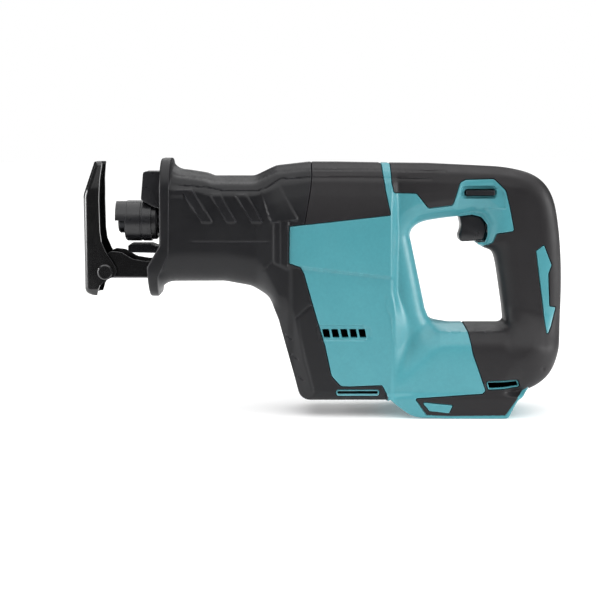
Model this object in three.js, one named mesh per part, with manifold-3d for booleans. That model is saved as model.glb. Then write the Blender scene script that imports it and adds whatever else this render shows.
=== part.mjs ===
// Sub-compact cordless reciprocating saw with a D-handle, battery off, in millimetres, +Z up.
// The blade end points to -X, the grip is at +X, the battery foot stands on Z = 0.
import * as THREE from 'three';
import * as BGU from 'three/addons/utils/BufferGeometryUtils.js';
import Module from 'manifold-3d';

const wasm = await Module();
wasm.setup();

// ---- Driving dimensions ----
const GAP = 0.3;                 // running gap between fitted pieces
const WALL = 3;                  // plastic shell wall
const SKIN = 2;                  // rubber overmould thickness
const BARREL_HALF = 33;          // half width of the front barrel
const MOTOR_HALF = 36;           // half width of the motor housing
const GRIP_HALF = 18;            // half width of the D-handle grip
const FOOT_HALF = 38;            // half width of the battery foot
const ROD_Z = 156;               // height of the blade and slider axis
const ROD_R = 7.5;
const SLEEVE_R = 16.4;           // blade clamp sleeve
const CLAMP_R = 10;              // blade clamp body
const BLADE_TANG = 12.7;         // half-inch universal shank
const CRANK_X = -11;             // crank gear axis
const CRANK_THROW = 10;          // gives the 20 mm stroke
const GEAR_MODULE = 1;
const GEAR_TEETH = 45;
const PINION_TEETH = 9;
const MOTOR_X = CRANK_X + GEAR_MODULE * (GEAR_TEETH + PINION_TEETH) / 2;
const STATOR_R = 26;
const FAN_R = 24;
const SHOE_HALF = 20;
const PIVOT = [-175.4, 116.1];   // shoe pivot, X and Z
const CHANNEL_HALF = 25;         // battery channel under the foot

// ---- Materials ----
const finish = (name, color, roughness, metalness = 0) =>
  new THREE.MeshStandardMaterial({ name, color, roughness, metalness });
const TEAL = finish('teal_plastic', '#4e9faa', 0.42);
const RUBBER = finish('black_overmould', '#38363a', 0.62);
const COVER = finish('black_rubber_cover', '#3a393d', 0.66);
const BLACK = finish('black_plastic', '#2b2a2d', 0.5);
const SHOE_STEEL = finish('black_coated_steel', '#1d1c1e', 0.22, 0.4);
const STEEL = finish('machined_steel', '#a9abae', 0.35, 1);
const DARK_STEEL = finish('dark_steel', '#55565a', 0.4, 1);
const ALLOY = finish('cast_alloy', '#b4b6b8', 0.5, 1);
const BRONZE = finish('sintered_bronze', '#a37b4a', 0.5, 1);
const COPPER = finish('enamelled_copper', '#a8592a', 0.35, 1);
const LAMINATION = finish('silicon_steel', '#6f7276', 0.5, 1);
const BOARD = finish('circuit_board', '#1f5a3a', 0.5);
const RESIN = finish('clear_lens', '#e8eef0', 0.12);
const BRASS = finish('tinned_brass', '#c9b27a', 0.3, 1);

// ---- Solids ----
function solid(geometry, weld = 1e-4) {
  const g = geometry.clone();
  g.deleteAttribute('normal');
  g.deleteAttribute('uv');
  const m = BGU.mergeVertices(g, weld);
  const index = m.index.array;
  const keep = [];
  for (let i = 0; i < index.length; i += 3) {
    const [a, b, c] = [index[i], index[i + 1], index[i + 2]];
    if (a !== b && b !== c && a !== c) keep.push(a, b, c);
  }
  return new wasm.Manifold(new wasm.Mesh({
    numProp: 3,
    vertProperties: new Float32Array(m.attributes.position.array),
    triVerts: new Uint32Array(keep),
  }));
}
const join = (...s) => s.reduce((a, b) => a.add(b));
const cut = (a, ...s) => s.reduce((p, b) => p.subtract(b), a);
const common = (a, ...s) => s.reduce((p, b) => p.intersect(b), a);

function box(x0, x1, y0, y1, z0, z1) {
  const g = new THREE.BoxGeometry(x1 - x0, y1 - y0, z1 - z0);
  return solid(g.translate((x0 + x1) / 2, (y0 + y1) / 2, (z0 + z1) / 2));
}
// A turned piece about the line through `at` along `axis`; profile is [radius, distance] from axis to axis.
function turned(profile, axis, at, sides = 18) {
  const g = new THREE.LatheGeometry(profile.map(([r, d]) => new THREE.Vector2(r, d)), sides);
  if (axis === 'x') g.rotateZ(-Math.PI / 2);
  if (axis === 'z') g.rotateX(Math.PI / 2);
  return solid(g.translate(...at));
}
const rodAlong = (axis, r, from, to, at, sides) =>
  turned([[0, from], [r, from], [r, to], [0, to]], axis, at, sides);
const ringAlong = (axis, r0, r1, from, to, at, sides) =>
  turned([[r0, from], [r1, from], [r1, to], [r0, to], [r0, from]], axis, at, sides);

// Points of a closed outline given as corners [a, b, radius].
function rounded(corners, step = 40) {
  const out = [];
  corners.forEach(([x, y, r = 0], i) => {
    const before = corners[(i + corners.length - 1) % corners.length];
    const after = corners[(i + 1) % corners.length];
    const u = new THREE.Vector2(before[0] - x, before[1] - y);
    const v = new THREE.Vector2(after[0] - x, after[1] - y);
    const [lu, lv] = [u.length(), v.length()];
    u.normalize();
    v.normalize();
    const half = Math.acos(THREE.MathUtils.clamp(u.dot(v), -1, 1)) / 2;
    const reach = Math.min(r / Math.tan(half), lu * 0.49, lv * 0.49);
    if (reach < 0.05 || half > 1.553) {
      out.push(new THREE.Vector2(x, y));
      return;
    }
    const radius = reach * Math.tan(half);
    const turn = Math.PI - 2 * half;
    const n = Math.max(1, Math.round(turn / THREE.MathUtils.degToRad(step)));
    const centre = u.clone().add(v).normalize().multiplyScalar(radius / Math.sin(half));
    centre.add(new THREE.Vector2(x, y));
    const a0 = Math.atan2(y + u.y * reach - centre.y, x + u.x * reach - centre.x);
    const a1 = Math.atan2(y + v.y * reach - centre.y, x + v.x * reach - centre.x);
    let sweep = a1 - a0;
    if (sweep > Math.PI) sweep -= 2 * Math.PI;
    if (sweep < -Math.PI) sweep += 2 * Math.PI;
    for (let k = 0; k <= n; k++) {
      const a = a0 + sweep * k / n;
      out.push(new THREE.Vector2(centre.x + radius * Math.cos(a), centre.y + radius * Math.sin(a)));
    }
  });
  return out;
}
function shapeOf(corners, holes = [], step) {
  const edge = rounded(corners, step);
  if (THREE.ShapeUtils.isClockWise(edge)) edge.reverse();
  const shape = new THREE.Shape(edge);
  holes.forEach((h) => shape.holes.push(new THREE.Path(rounded(h, step))));
  return shape;
}
// Outline in X and Z, extruded along Y from y0 to y1.
function sidePrism(corners, y0, y1, holes = [], step) {
  const g = new THREE.ExtrudeGeometry(shapeOf(corners, holes, step), { depth: y1 - y0, bevelEnabled: false });
  return solid(g.rotateX(Math.PI / 2).translate(0, y1, 0));
}
// Outline in Y and Z, extruded along X.
function frontPrism(corners, x0, x1, holes = [], step) {
  const g = new THREE.ExtrudeGeometry(shapeOf(corners, holes, step), { depth: x1 - x0, bevelEnabled: false });
  return solid(g.rotateX(Math.PI / 2).rotateZ(Math.PI / 2).translate(x0, 0, 0));
}
// Outline in X and Y, extruded along Z.
function topPrism(corners, z0, z1, holes = [], step) {
  const g = new THREE.ExtrudeGeometry(shapeOf(corners, holes, step), { depth: z1 - z0, bevelEnabled: false });
  return solid(g.translate(0, 0, z0));
}
// The corners of an outline moved outwards by d.
function grown(corners, d) {
  const flip = THREE.ShapeUtils.isClockWise(corners.map(([x, y]) => new THREE.Vector2(x, y))) ? 1 : -1;
  return corners.map(([x, y, r = 0], i) => {
    const [a, b] = [corners[(i + corners.length - 1) % corners.length], corners[(i + 1) % corners.length]];
    const u = new THREE.Vector2(x - a[0], y - a[1]).normalize();
    const v = new THREE.Vector2(b[0] - x, b[1] - y).normalize();
    const [nu, nv] = [new THREE.Vector2(-u.y, u.x), new THREE.Vector2(-v.y, v.x)];
    const k = flip * d / (1 + nu.dot(nv));
    return [x + (nu.x + nv.x) * k, y + (nu.y + nv.y) * k, r];
  });
}
// A slab in the side view with rolled edges; widthAt swells it locally.
function slab(corners, half, roll, holes = [], widthAt = null, segments = 2, step = 40) {
  const [inPlane, deep] = roll;
  const g = new THREE.ExtrudeGeometry(shapeOf(corners, holes, step), {
    depth: 2 * (half - deep), bevelEnabled: true, bevelThickness: deep,
    bevelSize: inPlane, bevelOffset: -inPlane, bevelSegments: segments,
  });
  g.rotateX(Math.PI / 2).translate(0, half - deep, 0);
  if (widthAt) {
    const p = g.attributes.position;
    for (let i = 0; i < p.count; i++) p.setY(i, p.getY(i) * widthAt(p.getX(i), p.getZ(i)) / half);
  }
  return g;
}
// The same closed surface moved inwards by t; its flat sides move straight in.
function shrunk(geometry, t, widthAt) {
  const g = geometry.clone();
  g.deleteAttribute('normal');
  g.deleteAttribute('uv');
  const m = BGU.mergeVertices(g, 1e-4);
  const [p, index] = [m.attributes.position, m.index.array];
  const at = Array.from({ length: p.count }, (_, i) => new THREE.Vector3().fromBufferAttribute(p, i));
  const normal = at.map(() => new THREE.Vector3());
  for (let i = 0; i < index.length; i += 3) {
    const corners = [index[i], index[i + 1], index[i + 2]];
    const face = new THREE.Triangle(...corners.map((c) => at[c])).getNormal(new THREE.Vector3());
    corners.forEach((c, k) => {
      const u = at[corners[(k + 1) % 3]].clone().sub(at[c]);
      const v = at[corners[(k + 2) % 3]].clone().sub(at[c]);
      normal[c].addScaledVector(face, u.angleTo(v));
    });
  }
  at.forEach((v, i) => {
    if (Math.abs(v.y) > widthAt(v.x, v.z) - 0.02) normal[i].set(0, Math.sign(v.y), 0);
    p.setXYZ(i, ...v.addScaledVector(normal[i].normalize(), -t));
  });
  return m;
}
// Smooth step from 0 at `from` to 1 at `to`, in either direction.
const ramp = (v, from, to) => {
  const k = THREE.MathUtils.clamp((v - from) / (to - from), 0, 1);
  return k * k * (3 - 2 * k);
};

// ---- Scene ----
const group = new THREE.Group();
function meshOf(body) {
  const m = body.getMesh();
  const g = new THREE.BufferGeometry();
  g.setAttribute('position', new THREE.BufferAttribute(new Float32Array(m.vertProperties), 3));
  g.setIndex(new THREE.BufferAttribute(new Uint32Array(m.triVerts), 1));
  return g;
}
function piece(name, body, material) {
  const g = meshOf(body);
  g.computeVertexNormals();
  const mesh = new THREE.Mesh(g, material);
  mesh.name = name;
  group.add(mesh);
}

// ---- Outer form ----
const barrelSide = [[-125, 198.5, 2], [-94, 194.5, 20], [-88, 192.3, 8], [-56, 192.3, 12], [-39, 200.3, 14],
  [-12, 203.4, 40], [10, 203.4], [10, 96], [-43, 95, 4], [-59, 104, 14], [-80, 107.5, 20], [-125, 107.5, 2]];
const barrelFace = (t) => [[-BARREL_HALF + t, 106 + t, 17 - t], [BARREL_HALF - t, 106 + t, 17 - t],
  [BARREL_HALF + 1 - t, 204 - t, 24 - t], [-BARREL_HALF - 1 + t, 204 - t, 24 - t]];
const motorSide = [[-44, 158], [-44, 203.5, 14], [53.5, 202.5, 11], [53.8, 158], [54, 120, 30], [57, 50, 30], [54, 13.5, 11],
  [-19, 13.5, 10.5], [-24.5, 34, 60], [-36.5, 78, 14], [-44, 96, 14]];
const opening = [[69.6, 144, 10], [84, 157, 16], [112, 159.5, 30], [136.6, 159.5, 8], [141.4, 112, 60],
  [147.4, 73, 3], [93, 73, 14], [82.6, 82, 10]];
const webSide = [[117, 172, 4], [120.5, 158, 3], [124.2, 139, 2], [128.4, 135, 3], [137.6, 130.6, 5], [152, 120, 4],
  [152, 172, 4]];
const ringSide = [[30, 203, 15], [104, 201.4, 60], [152, 197.5, 40], [178, 184, 22], [188.5, 156, 60],
  [193, 92, 90], [190, 55, 40], [180, 28, 30], [165, 15.5, 16], [46, 15.5, 15]];
const footSide = [[54, 23, 3], [54, 15, 4], [61, 8, 6], [70, 1.5, 10], [84, 0, 8], [145, 0, 3], [153.5, 15, 7],
  [165, 22, 4], [165, 27, 2], [120, 29, 2]];
const ringWidth = (x, z) => {
  const front = GRIP_HALF + 9 * ramp(x, 140, 62);
  return THREE.MathUtils.lerp(front, FOOT_HALF - 1, ramp(z, 76, 24));
};
const motorWidth = (x, z) => MOTOR_HALF - 9 * ramp(z, 158, 203);

const barrel = (t) => common(
  sidePrism(barrelSide, -50, 50),
  frontPrism(barrelFace(t), -140, 40, [], 22));
const motorSlab = slab(motorSide, MOTOR_HALF, [8, 9], [], motorWidth);
const ringSlab = slab(ringSide, GRIP_HALF, [13, 13], [opening], ringWidth, 3, 30);
const webSlab = slab(webSide, GRIP_HALF - 1, [1.6, 3], [], null, 2);
const footSlab = solid(slab(footSide, FOOT_HALF, [1.5, 2], [], null, 1));
const footCore = (t) => sidePrism(grown(footSide, -t), t - FOOT_HALF, FOOT_HALF - t);
const outer = join(barrel(0), solid(motorSlab), solid(ringSlab), solid(webSlab), footSlab);
const under = (t) => join(barrel(t), footCore(t), solid(shrunk(motorSlab, t, motorWidth)),
  solid(shrunk(ringSlab, t, ringWidth)));
const skinInside = under(SKIN);
const skinSeat = under(SKIN + 1.5 * GAP);
const t0 = SKIN + WALL + GAP;
const hollow = join(
  common(barrel(WALL), box(-121, 20, -40, 40, 110.6, 189.2)),
  solid(slab(grown(motorSide, -WALL), MOTOR_HALF, [6, 8], [],
    (x, z) => motorWidth(x, z) - WALL, 1, 45)),
  common(box(40, 200, -60, 60, 21, 210), solid(slab(grown(ringSide, -t0), GRIP_HALF, [8, 10],
    [grown(opening, t0)], (x, z) => ringWidth(x, z) - t0, 1, 45))));

// ---- Colour regions in the side view ----
const frontRegion = [[-145, 215], [-11, 215], [-10.2, 193], [-11.3, 182], [-15.8, 155.3], [-27.9, 153.6],
  [-28.3, 124.2, 1], [-19.4, 121.6, 2], [-16.5, 116], [-6.3, 80], [0.3, 58.4], [5.5, 34, 6], [13, 25.6, 4],
  [20, 25.3], [46, 26.4, 1], [51.7, 19], [52, 5], [-60, 5], [-145, 60]];
const topRegion = [[-10.6, 215], [-9.9, 193], [-11, 182], [-15.5, 155.6], [51.8, 162.3, 1], [48, 180.5],
  [45.6, 196], [44.6, 215]];
const rearRegion = [[51.6, 215], [52.6, 188], [54.4, 179.5, 2], [72.5, 179.2, 3], [82.5, 167, 2], [102, 169.2, 3],
  [107.6, 187.4, 3], [112, 189.8, 3], [135, 190.4, 3], [144.5, 181, 3], [148, 167.6, 10], [151.8, 148.6, 2],
  [137.6, 146.2, 2], [134.8, 139.2, 3], [128.6, 136.6], [124, 110], [112, 76.5], [114.5, 69.6], [118, 51.9],
  [128.4, 22.6, 2], [126, 20, 1], [72.2, 16.4], [81.2, 2.6, 2], [100.5, 1.9], [144.4, 2.3, 1], [154.2, 16.4],
  [164.4, 23], [172, 8], [215, 8], [215, 215]];
const accent = [[169.4, 132.8, 1], [175.6, 137.8, 1], [182.6, 121.4, 1], [179.9, 114.3], [181.4, 88, 1],
  [187, 87.1, 1], [182.7, 72.2, 8], [178.6, 64.6, 1], [175, 93.3], [172.7, 108.7]];
const footBadge = [[77.4, 13.6, 1], [102.6, 11, 1], [99.4, 4.2, 1], [83.4, 5.9, 1]];
const rearVent = [[131.2, 24.4, 0.6], [155.2, 25.4, 0.6], [153.2, 29.6, 0.6], [130, 29, 0.6]];
const near = -60, far = 60;
const tapered = (g) => sidePrism(g, near, far);
const wide = (g) => tapered(grown(g, GAP));
const frontZone = tapered(frontRegion);
const topZone = tapered(topRegion);
const tealInserts = (d) => [grown(accent, d), grown(footBadge, d), grown(rearVent, 1.2 + d)].map(tapered);
const rearZone = cut(tapered(rearRegion), ...tealInserts(0));

// ---- Openings that run through the shells ----
const triggerPocket = box(103, 140.6, -9.8, 9.8, 137.2, 163.2);
const lockSlot = sidePrism([[111.4, 176.6, 2], [136.6, 176.6, 2], [136.6, 182, 2], [111.4, 182, 2]], near, far);
const lockFace = [[109, 175.4, 2], [137, 175.4, 2], [137, 184.2, 2], [109, 184.2, 2]];
const lockRecesses = [sidePrism(lockFace, near, -17.2), sidePrism(lockFace, 17.2, far)];
const switchPocket = join(box(111.6, 140.4, -10.4, 10.4, 165.2, 175.8), box(118, 138, -4.2, 4.2, 162, 166));
const slantSlot = (x, z, w, h, lean) => sidePrism([[x, z + h], [x + w, z + h], [x + w + lean, z], [x + lean, z]],
  near, far);
const sideVents = Array.from({ length: 5 }, (_, i) => slantSlot(-2 + 7.2 * i, 65, 5.2, 6.6, 1.4));
const legVent = [[10.4, 18.7, 0.8], [42.6, 18.7, 0.8], [42.6, 21.5, 0.8], [10.4, 21.5, 0.8]];
const legVents = [sidePrism(grown(legVent, 1.5), near, -20), sidePrism(grown(legVent, 1.5), 20, far)];
const rearVents = [sidePrism(rearVent, near, -20), sidePrism(rearVent, 20, far)];
const channel = join(
  box(66, 175, -CHANNEL_HALF, CHANNEL_HALF, -2, 13),
  box(74, 175, -CHANNEL_HALF - 5, CHANNEL_HALF + 5, 5.5, 10.5));
// Screws that hold the half shells, driven from the +Y side: X and Z of each.
const shellScrews = [[62, 186], [164, 178], [177, 58], [66, 60], [146, 46]];
const bosses = join(...shellScrews.map(([x, z]) => rodAlong('y', 4.6, -25, 25, [x, 0, z], 8)));
const screwHoles = join(...shellScrews.flatMap(([x, z]) => [
  rodAlong('y', 1.9, -9, 20, [x, 0, z], 8), rodAlong('y', 4, 10, 60, [x, 0, z], 10)]));

// ---- Front cover: rubber boot over the gear housing, with its flange and the leg down the motor ----
const flangeOutline = [[-34, 96, 26], [34, 96, 26], [34, 207, 22], [-34, 207, 22]];
const flangeEdge = [[-130.5, 206.8, 2], [-121.5, 206.8, 1], [-121.5, 103], [-126, 103, 4], [-132.6, 95.6, 2],
  [-139.8, 95.6, 2], [-141, 121, 3], [-130.9, 138, 6]];
const noseHole = frontPrism([[-25, 110.6, 5], [25, 110.6, 5], [27, 197.5, 14], [-27, 197.5, 14]], -150, -119);
const flange = cut(common(sidePrism(flangeEdge, -40, 40), frontPrism(flangeOutline, -150, -100, [], 22)), noseHole);
const rib = (x, z, dx, dz, w, side) => {
  const n = Math.hypot(dx, dz);
  const [px, pz] = [-dz / n * w / 2, dx / n * w / 2];
  return sidePrism([[x + px, z + pz, w / 2.2], [x - px, z - pz, w / 2.2],
    [x + dx - px, z + dz - pz, w / 2.2], [x + dx + px, z + dz + pz, w / 2.2]],
    side < 0 ? -BARREL_HALF - 0.9 : BARREL_HALF - 2, side < 0 ? -BARREL_HALF + 2 : BARREL_HALF + 0.9);
};
const gripRibs = [-1, 1].flatMap((s) => [
  rib(-105, 182, 12, -20, 5, s), rib(-94, 182, 12, -20, 5, s), rib(-81, 179, 9, -16, 5, s),
  rib(-71, 179, 9, -16, 5, s), rib(-61, 178, 8, -15, 5, s)]);
const cover = cut(
  join(cut(common(outer, frontZone, box(-123, 60, -60, 60, 0, 220)), hollow), flange, ...gripRibs),
  noseHole, ...legVents);


// ---- Half shells, top pads and grip overmould, split down the middle ----
const shellFull = cut(
  join(cut(outer, wide(frontRegion), wide(topRegion), cut(wide(rearRegion), ...tealInserts(-GAP))),
    cut(skinSeat, wide(frontRegion))),
  cut(hollow, bosses), channel, triggerPocket, lockSlot, ...lockRecesses, switchPocket, ...sideVents, ...rearVents,
  screwHoles);
const topFull = cut(common(outer, topZone), skinInside, hollow);
const rearFull = cut(common(outer, rearZone), skinInside, hollow, channel, triggerPocket, screwHoles);
const sides = { left: box(-200, 220, -80, -0.15, -10, 230), right: box(-200, 220, 0.15, 80, -10, 230) };

// The main body of a cut result, welded so that no sliver is left on it.
function largest(body) {
  for (let pass = 0; pass < 3; pass++) {
    const main = body.decompose().sort((a, b) => b.volume() - a.volume())[0];
    body = solid(meshOf(main), 5e-3);
  }
  return body.decompose().sort((a, b) => b.volume() - a.volume())[0];
}
piece('front_cover', largest(cover), COVER);
for (const [side, half] of Object.entries(sides)) {
  piece(`housing_${side}`, largest(common(shellFull, half)), TEAL);
  piece(`top_pad_${side}`, largest(common(topFull, half)), RUBBER);
  piece(`grip_${side}`, largest(common(rearFull, half)), RUBBER);
}

const legRim = (y0, y1) => sidePrism(grown(legVent, 1.2), y0, y1, [grown(legVent, -0.2)]);
piece('leg_vent_left', legRim(-35.2, -32.8), TEAL);
piece('leg_vent_right', legRim(32.8, 35.2), TEAL);
shellScrews.forEach(([x, z], i) => piece(`housing_screw_${i + 1}`, turned(
  [[0, -7], [1.5, -7], [1.5, 10.3], [3.4, 10.3], [3.4, 12.4], [1.4, 12.9], [0, 11.6]],
  'y', [x, 0, z], 9), DARK_STEEL));

// ---- Nose: lamp hood, lamp and blade guide ----
const hoodSide = [[-144.9, 196, 2], [-131.8, 196, 1], [-131.8, 187.6], [-112.4, 187.6], [-112.4, 170],
  [-131.8, 170], [-132.4, 165.4, 1], [-147, 173.4, 2]];
piece('lamp_hood', cut(sidePrism(hoodSide, -14, 14), rodAlong('x', 18, -150, -110, [0, 0, ROD_Z], 32),
  rodAlong('x', 3.3, -150, -136, [0, 0, 185.5], 12)), BLACK);
piece('work_lamp', turned([[0, -143], [1.6, -142.6], [2.6, -141], [3, -140.8], [3, -136.3], [0, -136.3]],
  'x', [0, 0, 185.5], 12), RESIN);
piece('blade_guide', sidePrism([[-158, 131, 1], [-158, 136.6, 1], [-156, 137.6, 1], [-140, 137.6, 2],
  [-136, 136, 2], [-112.4, 136], [-112.4, 130, 1]], -11, 11), DARK_STEEL);

// ---- Gear case ----
const caseSide = [[-112, 129], [-112, 182, 4], [-106, 186, 4], [44, 186, 3], [44, 114], [-38, 114], [-38, 129]];
const caseFace = [[-27, 110], [27, 110], [27, 186, 14], [-27, 186, 14]];
const bore = (r, x0, x1) => rodAlong('x', r, x0, x1, [0, 0, ROD_Z], 24);
piece('gear_case', cut(common(sidePrism(caseSide, -28, 28), frontPrism(caseFace, -120, 60)),
  box(-92, 30, -23.8, 23.8, 132, 181), box(-35.2, 30, -23.8, 23.8, 110, 150),
  bore(11, -111, -91), bore(8.6, -113, -90), bore(11, 29, 43), bore(8.6, 28, 50),
  ...[-19, 19].map((y) => rodAlong('z', 1.8, 100, 126, [37, y, 0], 10))), ALLOY);
piece('gear_case_cover', cut(
  join(box(-37.4, 44, -26, 26, 107.4, 113.7), rodAlong('z', 14.5, 100.4, 110, [CRANK_X, 0, 0], 24),
    rodAlong('z', 11, 103.4, 110, [MOTOR_X, 0, 0], 20)),
  rodAlong('z', 11.3, 102, 120, [CRANK_X, 0, 0], 24), rodAlong('z', 7, 95, 103, [CRANK_X, 0, 0], 16),
  rodAlong('z', 8.3, 105, 120, [MOTOR_X, 0, 0], 20), rodAlong('z', 6, 95, 106, [MOTOR_X, 0, 0], 16),
  ...[-19, 19].map((y) => rodAlong('z', 1.9, 100, 120, [37, y, 0], 10))), ALLOY);
[['left', -19], ['right', 19]].forEach(([side, y]) => piece(`case_screw_${side}`, turned(
  [[0, 104.2], [1.5, 103.2], [3.2, 103.4], [3.2, 107.1], [1.5, 107.1], [1.5, 125], [0, 125]],
  'z', [37, y, 0], 9), DARK_STEEL));
piece('front_bush', ringAlong('x', ROD_R + GAP, 10.7, -110.7, -92.8, [0, 0, ROD_Z]), BRONZE);
piece('rear_bush', ringAlong('x', ROD_R + GAP, 10.7, 30.2, 42.7, [0, 0, ROD_Z]), BRONZE);

// ---- Slider and blade clamp ----
piece('slider_rod', cut(
  join(rodAlong('x', ROD_R, -128, 34, [0, 0, ROD_Z], 24), box(-21.5, -0.5, -20.5, 20.5, 137, 150.2)),
  box(CRANK_X - 5.4, CRANK_X + 5.4, -16, 16, 130, 147.5)), STEEL);
const bladeSlot = box(-170, -140, -0.9, 0.9, ROD_Z - BLADE_TANG / 2 - 0.2, ROD_Z + BLADE_TANG / 2 + 0.2);
piece('clamp_body', cut(turned([[0, -166], [8.8, -166], [CLAMP_R, -164.8], [CLAMP_R, -128.3], [0, -128.3]],
  'x', [0, 0, ROD_Z], 24), bladeSlot, rodAlong('y', 2.2, -12, 12, [-152, 0, ROD_Z], 12)), STEEL);
piece('clamp_collar', turned([[CLAMP_R + GAP, -138.9], [15.2, -138.9], [15.2, -135.6], [13.6, -134.2],
  [CLAMP_R + GAP, -134.2], [CLAMP_R + GAP, -138.9]], 'x', [0, 0, ROD_Z], 24), BLACK);
const lug = common(ringAlong('x', CLAMP_R + 0.6, 17.2, -167.6, -159, [0, 0, ROD_Z], 20),
  box(-170, -150, -18, -2.5, ROD_Z + 1, ROD_Z + 16));
piece('clamp_sleeve', join(turned([[CLAMP_R + GAP, -160.4], [15.2, -160.4], [SLEEVE_R, -159.2], [SLEEVE_R, -148],
  [SLEEVE_R - 0.5, -147.6], [SLEEVE_R - 0.5, -146.6], [SLEEVE_R, -146.2], [SLEEVE_R, -139.2], [13.5, -139.2],
  [13.5, -150], [CLAMP_R + GAP, -150], [CLAMP_R + GAP, -160.4]], 'x', [0, 0, ROD_Z], 20), lug), BLACK);
piece('clamp_pin', rodAlong('y', 1.9, -9.6, -1.4, [-152, 0, ROD_Z], 12), STEEL);
// A coil of round wire; axis 'x' or 'z'.
function coil(radius, wire, from, to, turns, axis, at) {
  const steps = Math.round(turns * 8);
  const points = Array.from({ length: steps + 1 }, (_, i) => {
    const a = i / 8 * 2 * Math.PI;
    const d = from + (to - from) * i / steps;
    return axis === 'x' ? new THREE.Vector3(at[0] + d, at[1] + radius * Math.cos(a), at[2] + radius * Math.sin(a))
      : new THREE.Vector3(at[0] + radius * Math.cos(a), at[1] + radius * Math.sin(a), at[2] + d);
  });
  const section = new THREE.Shape(Array.from({ length: 5 }, (_, i) =>
    new THREE.Vector2(wire * Math.cos(i * Math.PI / 2.5), wire * Math.sin(i * Math.PI / 2.5))));
  return solid(new THREE.ExtrudeGeometry(section, {
    steps, bevelEnabled: false, extrudePath: new THREE.CatmullRomCurve3(points) }));
}
piece('clamp_spring', coil(11.9, 0.7, -148.6, -140.6, 3.5, 'x', [0, 0, ROD_Z]), STEEL);

// ---- Crank gear and motor ----
function gearOutline(teeth, phase = 0) {
  const pitch = GEAR_MODULE * teeth / 2;
  const half = (r) => (GEAR_MODULE * Math.PI / 4 - 0.2 - (r - pitch) * Math.tan(Math.PI / 9)) / r;
  const [tip, root] = [pitch + 0.85 * GEAR_MODULE, pitch - 1.15 * GEAR_MODULE];
  return Array.from({ length: teeth }, (_, i) => {
    const a = (i + phase) * 2 * Math.PI / teeth;
    return [[root, -half(root)], [tip, -half(tip)], [tip, half(tip)], [root, half(root)]]
      .map(([r, b]) => [r * Math.cos(a + b), r * Math.sin(a + b), 0]);
  }).flat();
}
const gearBlank = topPrism(gearOutline(GEAR_TEETH), 116.6, 124.6).translate([CRANK_X, 0, 0]);
piece('crank_gear', cut(join(gearBlank, rodAlong('z', 3.2, 124, 136.6, [CRANK_X, CRANK_THROW, 0], 16)),
  rodAlong('z', 5, 110, 130, [CRANK_X, 0, 0], 20)), STEEL);
piece('crank_shaft', rodAlong('z', 4.7, 101, 124.4, [CRANK_X, 0, 0], 20), DARK_STEEL);
piece('crank_bearing', ringAlong('z', 5, 11, 102.4, 109.4, [CRANK_X, 0, 0], 24), DARK_STEEL);
piece('crank_roller', ringAlong('z', 3.5, 5, 127, 136.3, [CRANK_X, CRANK_THROW, 0], 16), STEEL);
const onMotor = [MOTOR_X, 0, 0];
piece('rotor_shaft', join(rodAlong('z', 3, 17.4, 116.2, onMotor, 16),
  topPrism(gearOutline(PINION_TEETH), 116, 125.2).translate(onMotor)), STEEL);
piece('rotor_core', ringAlong('z', 3.3, 12.4, 31, 54.6, onMotor, 18), LAMINATION);
const statorTeeth = Array.from({ length: 6 }, (_, i) => {
  const tooth = box(14, 23, -4, 4, 30.2, 55.2);
  return tooth.rotate([0, 0, i * 60]).translate(onMotor);
});
piece('stator_core', cut(join(ringAlong('z', 21.5, STATOR_R, 30.2, 55.2, onMotor, 32), ...statorTeeth),
  rodAlong('z', 13.1, 20, 60, onMotor, 18)), LAMINATION);
const winding = (z0, z1) => cut(
  join(ringAlong('z', 19, 24.5, z0, z1, onMotor, 18),
    ...Array.from({ length: 6 }, (_, i) => rodAlong('z', 5.2, z0 + 0.4, z1 - 0.4, [17.6, 0, 0], 8)
      .rotate([0, 0, i * 60]).translate(onMotor))),
  rodAlong('z', 13.1, 0, 90, onMotor, 18));
piece('winding_upper', winding(55.5, 60.6), COPPER);
piece('winding_lower', winding(25, 29.9), COPPER);
piece('sensor_board', ringAlong('z', 8.6, 23, 22.9, 24.4, onMotor, 18), BOARD);
piece('bearing_bracket', ringAlong('z', 8.3, 24, 18, 22.4, onMotor, 18), ALLOY);
piece('bearing_lower', ringAlong('z', 3.3, 8, 18, 22.4, onMotor, 20), DARK_STEEL);
piece('bearing_upper', ringAlong('z', 3.3, 8, 105.3, 110.3, onMotor, 20), DARK_STEEL);
const fanBlade = box(8, FAN_R, -0.7, 0.7, 63, 71.6);
piece('fan', cut(join(rodAlong('z', FAN_R, 62, 63.6, onMotor, 18), rodAlong('z', 9, 62, 72, onMotor, 16),
  ...Array.from({ length: 9 }, (_, i) => fanBlade.rotate([0, 0, i * 40]).translate(onMotor))),
rodAlong('z', 3.3, 50, 80, onMotor, 16)), BLACK);
piece('air_baffle', ringAlong('z', 9, 28, 75, 77.4, onMotor, 18), BLACK);

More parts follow.
